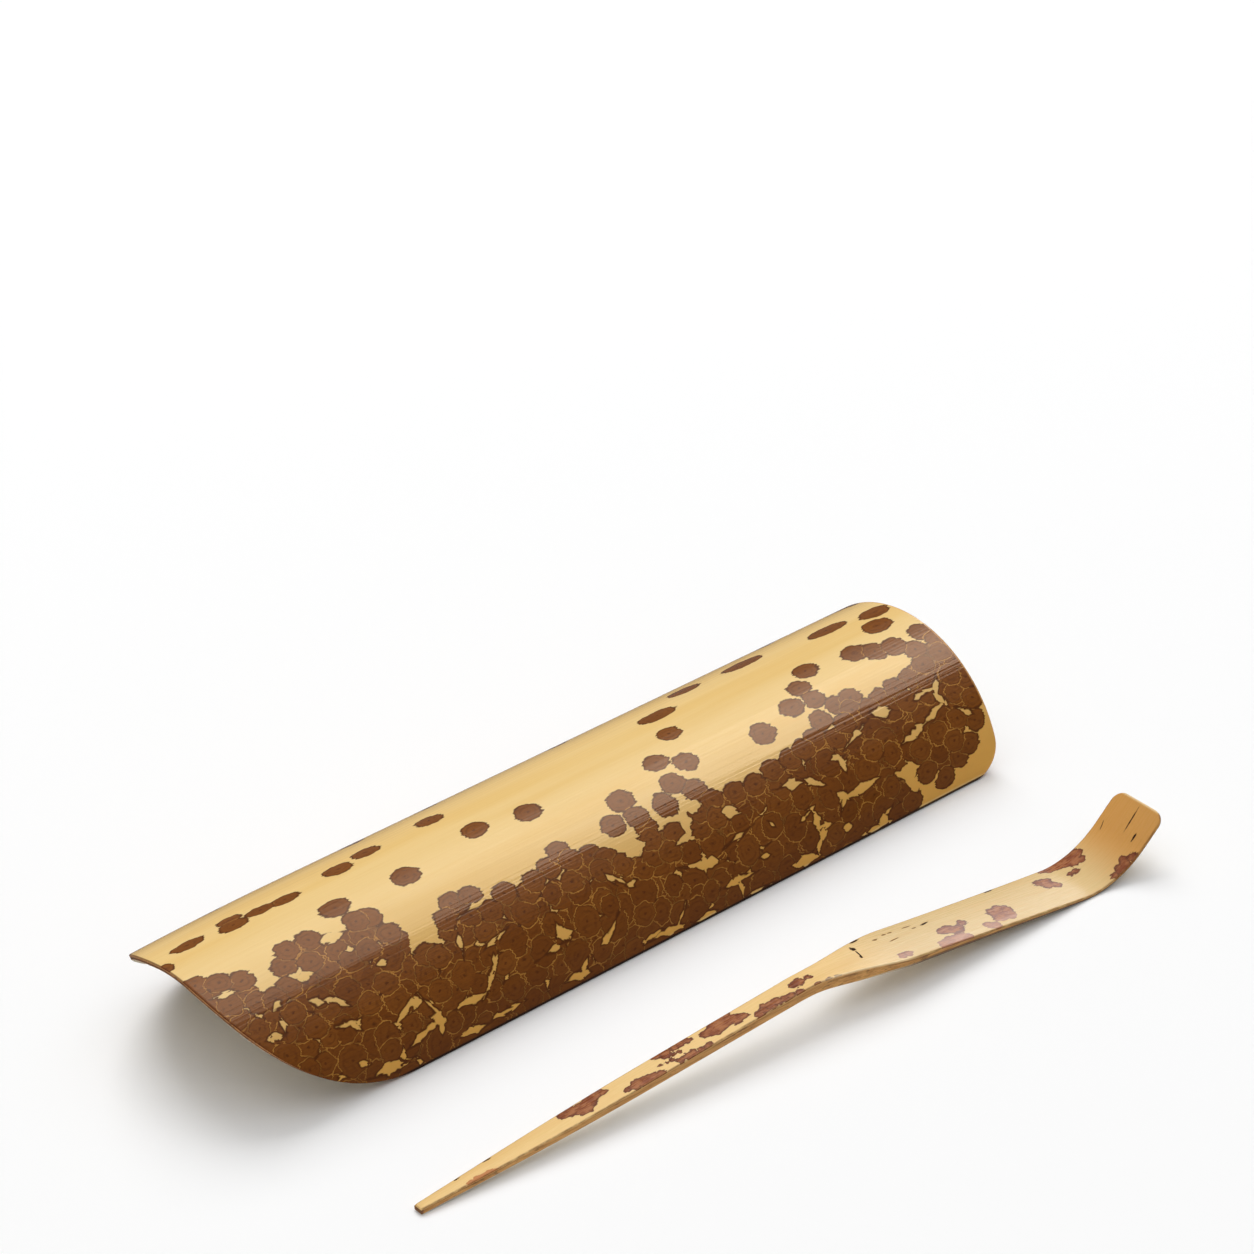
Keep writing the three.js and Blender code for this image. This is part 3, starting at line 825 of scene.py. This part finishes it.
def makeScoop(materials):
    lengthColumns, cornerColumns = scoop["columns"]
    bm = flatSlab(lengthColumns + cornerColumns, scoop["rows"])
    skinMap = bm.loops.layers.uv.new("skinMap")
    patchDepth = bm.verts.layers.float.new("patchDepth")
    patchLean = bm.verts.layers.float.new("patchLean")
    cutReach = bm.verts.layers.float.new("cutReach")
    sideHeight = bm.verts.layers.float.new("sideHeight")
    tipCorner = scoop["tipCornerRadius"]
    cornerStart = scoopLength - tipCorner
    flatPlace = {}
    for vert in bm.verts:
        column, row, layer = vert.co
        if column <= lengthColumns:
            along, trim = cornerStart * column / lengthColumns, 0
        else:
            turn = math.pi / 2 * (column - lengthColumns) / cornerColumns
            along, trim = cornerStart + tipCorner * math.sin(turn), tipCorner * (1 - math.cos(turn))
        fullWidth = scoopHalfWidth(along)
        across = (fullWidth - trim) * spreadRow(row)
        reach = min(fullWidth - trim - abs(across), along, scoopLength - along)
        crown = (fullWidth ** 2 - across ** 2) / 2 / scoop["skinRadius"]
        thickness = scoopThickness(along)
        if layer > 0.5:
            height = thickness + crown - edgeDrop(reach, scoop["topRounding"])
        else:
            paringStart, paringEnd = scoop["paringRun"]
            onBlade = ease(along, scoop["handleLength"] + paringStart, scoop["handleLength"] + paringEnd)
            paring = between(scoop["bellyRounding"], scoop["bladeParing"], onBlade)
            height = edgeDrop(reach, min(paring, thickness / 2.4))
        forward, up, slope = scoopPath(along)
        forward -= height * math.sin(slope)
        up += height * math.cos(slope)
        swing, lean = math.cos(scoop["yaw"]), math.sin(scoop["yaw"])
        vert.co = (tailX + forward * swing - across * lean,
                   tailY + forward * lean + across * swing, max(up, 0))
        alongMm, nearMm = along / mm, -across / mm
        flatPlace[vert] = (alongMm, nearMm)
        vert[sideHeight] = layer
        vert[cutReach] = reach / mm
        stretch = scoop["patchStretch"]
        depth, x, y = max(
            (radius - math.hypot((alongMm - x) / stretch, nearMm - y), x, y)
            for x, y, radius in scoop["patches"])
        vert[patchDepth] = depth
        fromLobe = max(math.hypot((alongMm - x) / stretch, nearMm - y), 0.2)
        vert[patchLean] = (x - alongMm) / 1.3 / fromLobe  # how far a fray along the fibre moves the outline
    for face in bm.faces:
        for loop in face.loops:
            loop[skinMap].uv = flatPlace[loop.vert]
    finishPiece("leafScoop", bm, materials, "scoop", "leaf_scoop")


# one short check in the skin
def makeCheck():
    tree, given, sent = newGroup(
        "check",
        [("Place", "Vector", None), ("Centre", "Vector", None), ("Half Size", "Vector", None),
         ("Turn", "Float", 0)],
        [("Mask", "Float")])
    away = vectorCalc(tree, "SUBTRACT", given["Place"], given["Centre"])
    away = turnedBy(tree, away, given["Turn"], invert=True)
    away = vectorCalc(tree, "DIVIDE", away, given["Half Size"])
    ragged = calc(tree, "SUBTRACT", noiseAt(tree, given["Place"], (1.4, 3, 1), 2, 0.6), 0.5)
    reach = addNode(tree, "ShaderNodeVectorMath", {0: away}, operation="LENGTH").outputs["Value"]
    feed(tree, sent["Mask"], fade(tree, calc(tree, "ADD", reach, ragged), 1, 0.6))
    return tree


def paintScoopSkin():
    material, tree, shader, place = newMaterial("scoopSkin", 0.3)
    threads = useGroup(tree, fibre, Place=place)
    spread = splitUp(tree, place)
    along, across = spread["X"], spread["Y"]
    skin = layered(
        tree, scoop["topColour"],
        (fade(tree, threads["Band"], 0.4, 0.66), scoop["bandColour"]),
        (fade(tree, along, 86, 108, 0, 0.95), scoop["bladeColour"]),
        (fade(tree, along, 148, 160, 0, 0.85), scoop["tipColour"]),
        (fade(tree, threads["Thread"], 0.45, 0.8, 0, 0.3), scoop["tipColour"]))
    creep = useGroup(tree, fray, Place=place)
    lean, patchDepth = attributeOf(tree, "patchLean"), attributeOf(tree, "patchDepth")
    depth = calc(tree, "MULTIPLY_ADD", lean, creep["Slip"], patchDepth)
    depth = calc(tree, "ADD", calc(tree, "MULTIPLY_ADD", creep["Nibble"], 0.7, creep["Swell"]), depth)
    mottle = noiseAt(tree, place, (0.5, 1.1, 1), 3, 0.6, (3, 3, 0))
    faded = calc(tree, "MULTIPLY", fade(tree, along, 96, 100), fade(tree, along, 138, 132))
    faded = calc(tree, "MULTIPLY", faded, fade(tree, across, 2.7, 3.7, 0, 0.5))
    patch = layered(
        tree, scoop["patchColour"],
        (fade(tree, mottle, 0.4, 0.6), scoop["patchPale"]),
        (fade(tree, depth, 0.55, 0.1, 0, 0.85), scoop["patchRim"]),
        (fade(tree, along, 24, 20), scoop["tailPatch"]),
        (faded, scoop["patchFaded"]))
    check = makeCheck()

    def markedBy(row):
        covered = None
        for x, y, long, wide, turn in row:
            sockets = {"Place": place, "Centre": (x, y, 0), "Half Size": (long, wide, 1),
                       "Turn": math.radians(turn)}
            mark = useGroup(tree, check, **sockets)["Mask"]
            covered = mark if covered is None else calc(tree, "MAXIMUM", covered, mark)
        return covered

    marks, dashes = markedBy(scoop["checks"]), markedBy(scoop["dashes"])
    toEdge = attributeOf(tree, "cutReach")
    worn = calc(tree, "MULTIPLY", fade(tree, toEdge, 0.35, 0.1), fade(tree, mottle, 0.35, 0.6, 0.2, 0.7))
    neck = calc(tree, "MULTIPLY", fade(tree, along, 84, 88), fade(tree, along, 106, 101))
    neck = calc(tree, "MULTIPLY", neck, fade(tree, across, 0, 0.5))
    worn = calc(tree, "MULTIPLY", worn, calc(tree, "SUBTRACT", 1, neck))
    # painted highlight: a pale line along the near top edge of the neck
    lit = calc(tree, "MULTIPLY", neck, fade(tree, toEdge, 0.45, 0.15, 0, 0.6))
    end = scoopLength / mm
    colour = layered(
        tree, skin,
        (fade(tree, depth, -0.06, 0.08), patch),
        (calc(tree, "MULTIPLY", dashes, 0.8), scoop["dashColour"]),
        (marks, scoop["checkColour"]),
        (worn, scoop["edgeColour"]),
        (lit, scoop["neckHighlight"]),
        (fade(tree, along, end - 0.5, end - 0.2, 0, 0.8), scoop["tipEdge"]))
    gloss = fade(tree, threads["Thread"], 0.3, 0.8, 0.24, 0.36)
    gloss = mixValue(tree, calc(tree, "MAXIMUM", marks, dashes), gloss, 0.9)
    shader["Specular IOR Level"].default_value = 0.22
    finishPaint(tree, shader, colour, gloss, calc(tree, "SUBTRACT", threads["Thread"], marks), 0.03 * mm)
    return material


def paintScoopSide():
    material, tree, shader, place = newMaterial("scoopSide", 0.5)
    solid = addNode(tree, "ShaderNodeTexCoord").outputs["Object"]
    strands = noiseAt(tree, solid, (110, 2600, 2600), 3, 0.65)
    specks = noiseAt(tree, solid, (420, 1500, 1500), 2, 0.6, (3, 1, 0))
    level = attributeOf(tree, "sideHeight")
    band = calc(tree, "MULTIPLY", fade(tree, level, 0.66, 0.78), fade(tree, level, 0.96, 0.86))
    tail = splitUp(tree, place)["X"]
    streaks = fade(tree, noiseAt(tree, place, (0.07, 0.3, 1), 2, 0.6, (6, 2, 0)), 0.4, 0.62, 0.1, 0.9)
    band = calc(tree, "MULTIPLY", calc(tree, "MULTIPLY", band, streaks), fade(tree, tail, 40, 60, 0.5, 1))
    # painted shade: the lower part of the side is darker along the blade, where it nears the table
    under = calc(tree, "MULTIPLY", fade(tree, level, 0.5, 0.12), fade(tree, tail, 98, 116, 0, 0.8))
    colour = layered(
        tree, shade(226, 168, 92),
        (fade(tree, strands, 0.35, 0.68), shade(188, 130, 64)),
        (fade(tree, specks, 0.58, 0.7, 0, 0.6), shade(112, 70, 34)),
        (band, shade(112, 66, 30)),
        (under, shade(84, 52, 28)),
        # painted highlight: a pale line along the top edge of the side
        (fade(tree, level, 0.9, 0.97, 0, 0.5), shade(240, 196, 136)),
        (fade(tree, tail, 0.7, 0.2, 0, 0.8), shade(112, 64, 34)))
    finishPaint(tree, shader, colour, fade(tree, strands, 0.3, 0.7, 0.42, 0.6), strands, 0.05 * mm)
    return material


def paintScoopBelly():
    material, tree, shader, place = newMaterial("scoopBelly", 0.55)
    threads = useGroup(tree, fibre, Place=place)
    tail = splitUp(tree, place)["X"]
    toEdge = fade(tree, attributeOf(tree, "cutReach"), 0.9, 0.4)
    # painted shade: the blade's pared lower edges darkened, where they face the table
    pared = calc(tree, "MULTIPLY", toEdge, fade(tree, tail, 94, 108, 0, 0.85))
    colour = layered(
        tree, shade(234, 222, 198),
        (fade(tree, threads["Band"], 0.35, 0.7), shade(220, 200, 166)),
        (fade(tree, threads["Thread"], 0.5, 0.75, 0, 0.55), shade(176, 142, 98)),
        (pared, shade(84, 52, 28)))
    dullness = fade(tree, threads["Thread"], 0.3, 0.8, 0.45, 0.65)
    finishPaint(tree, shader, colour, dullness, threads["Thread"], 0.05 * mm)
    return material


makeScoop([paintScoopSkin(), paintScoopBelly(), paintScoopSide()])

# white table top that keeps the shadow
table = {"halfSize": 4, "colour": (0.95, 0.95, 0.95, 1)}


def makeTable():
    bm = bmesh.new()
    bmesh.ops.create_grid(bm, x_segments=8, y_segments=8, size=table["halfSize"])
    material, tree, sockets = plainMaterial("whiteTable")
    feedAll(tree, sockets, {"Base Color": table["colour"], "Roughness": 0.9, "Specular IOR Level": 0})
    top = newObject("tableTop", bm, [material])
    top.visible_glossy = False  # the bamboo mirrors the dim lower half of the room instead


makeTable()

# white wall far behind, seen by the camera alone
backdrop = {"radius": 3.9, "height": 3, "low": 0.9, "whiteFrom": 0.35}


def makeBackdrop():
    bm = bmesh.new()
    radius, height = backdrop["radius"], backdrop["height"]
    bmesh.ops.create_cone(bm, segments=96, radius1=radius, radius2=radius, depth=height)
    bmesh.ops.translate(bm, verts=bm.verts, vec=(0, 0, height / 2))
    bmesh.ops.reverse_faces(bm, faces=bm.faces)
    material, tree, sockets = plainMaterial("whiteWall")
    level = splitUp(tree, addNode(tree, "ShaderNodeTexCoord").outputs["Object"])["Z"]
    low, black, white = (backdrop["low"],) * 3 + (1,), (0, 0, 0, 1), (1, 1, 1, 1)
    glow = mixColour(tree, fade(tree, level, 0, backdrop["whiteFrom"]), low, white)
    feedAll(tree, sockets, {
        "Base Color": black, "Specular IOR Level": 0, "Emission Strength": 1, "Emission Color": glow})
    wall = newObject("backdrop", bm, [material])
    wall.visible_diffuse = wall.visible_glossy = wall.visible_shadow = False


makeBackdrop()

# soft boxes: centre, aim, width, depth, brightness against white, colour, and what they are seen by
warm, plain = (1, 0.86, 0.7), (1, 1, 1)
lights = {
    "overheadRight": ((1.6, -0.01, 1.8), (1.6, -0.01, 0), 0.6, 1.218, 7, warm, "gloss"),
    "overheadMiddle": ((1.2, -0.01, 1.8), (1.2, -0.01, 0), 0.2, 1.218, 5.4, warm, "gloss"),
    "overheadLeft": ((0.85, -0.01, 1.8), (0.85, -0.01, 0), 0.5, 1.218, 3.2, warm, "gloss"),
    "overheadFade": ((1.3, 0.82, 1.8), (1.3, 0.82, 0), 1.1, 0.44, 2.6, warm, "gloss"),
    "overheadTail": ((1.3, 1.26, 1.8), (1.3, 1.26, 0), 1.1, 0.44, 1, warm, "gloss"),
    "bladeGloss": ((1.387, 0.918, 0.689), (0.03, -0.04, 0.005), 0.46, 0.5, 3.1, plain, "gloss"),
    "bladeRim": ((1.363, 0.669, 0.985), (0.03, -0.04, 0.005), 0.42, 0.22, 14, plain, "gloss"),
    "fillPanel": ((1.4, 2.6, 3.7), (0, 0, 0), 3.2, 3.2, 3.85, plain, "fill"),
}
skyLevel = {"low": 0.18, "zenith": 1.22, "risesFrom": 0.45}


def addSoftBox(name, place, aim, width, depth, level, colour, seenBy):
    lamp = bpy.data.lights.new(name, "AREA")
    lamp.shape = "RECTANGLE"
    lamp.size, lamp.size_y = width, depth
    lamp.energy = level * math.pi * width * depth
    lamp.color = colour
    box = bpy.data.objects.new(name, lamp)
    box.location = place
    box.rotation_euler = (Vector(aim) - Vector(place)).to_track_quat("-Z", "Y").to_euler()
    box.visible_camera = False
    box.visible_diffuse = seenBy == "fill"
    box.visible_glossy = seenBy == "gloss"
    bpy.context.collection.objects.link(box)


for name, settings in lights.items():
    addSoftBox(name, *settings)

world = bpy.data.worlds.new("studio")
world.use_nodes = True
worldTree = world.node_tree
up = splitUp(worldTree, addNode(worldTree, "ShaderNodeTexCoord").outputs["Generated"])["Z"]
background = worldTree.nodes["Background"]
background.inputs["Color"].default_value = (1, 1, 1, 1)
sky = {
    "Value": up, "From Min": skyLevel["risesFrom"], "From Max": 1,
    "To Min": skyLevel["low"], "To Max": skyLevel["zenith"],
}
feed(worldTree, background.inputs["Strength"], addNode(worldTree, "ShaderNodeMapRange", sky).outputs[0])
bpy.context.scene.world = world
print("lights and table set")

camera = {"place": (-0.49638, -0.54241, 0.50127), "aim": (0.06887, 0.0788, 0), "lens": 147.67}
cameraData = bpy.data.cameras.new("camera")
cameraData.lens = camera["lens"]
cameraData.sensor_width = 36
cameraObject = bpy.data.objects.new("camera", cameraData)
cameraObject.location = camera["place"]
sight = Vector(camera["aim"]) - Vector(camera["place"])
cameraObject.rotation_euler = sight.to_track_quat("-Z", "Y").to_euler()
bpy.context.collection.objects.link(cameraObject)
bpy.context.scene.camera = cameraObject
bpy.context.scene.view_settings.view_transform = "Standard"
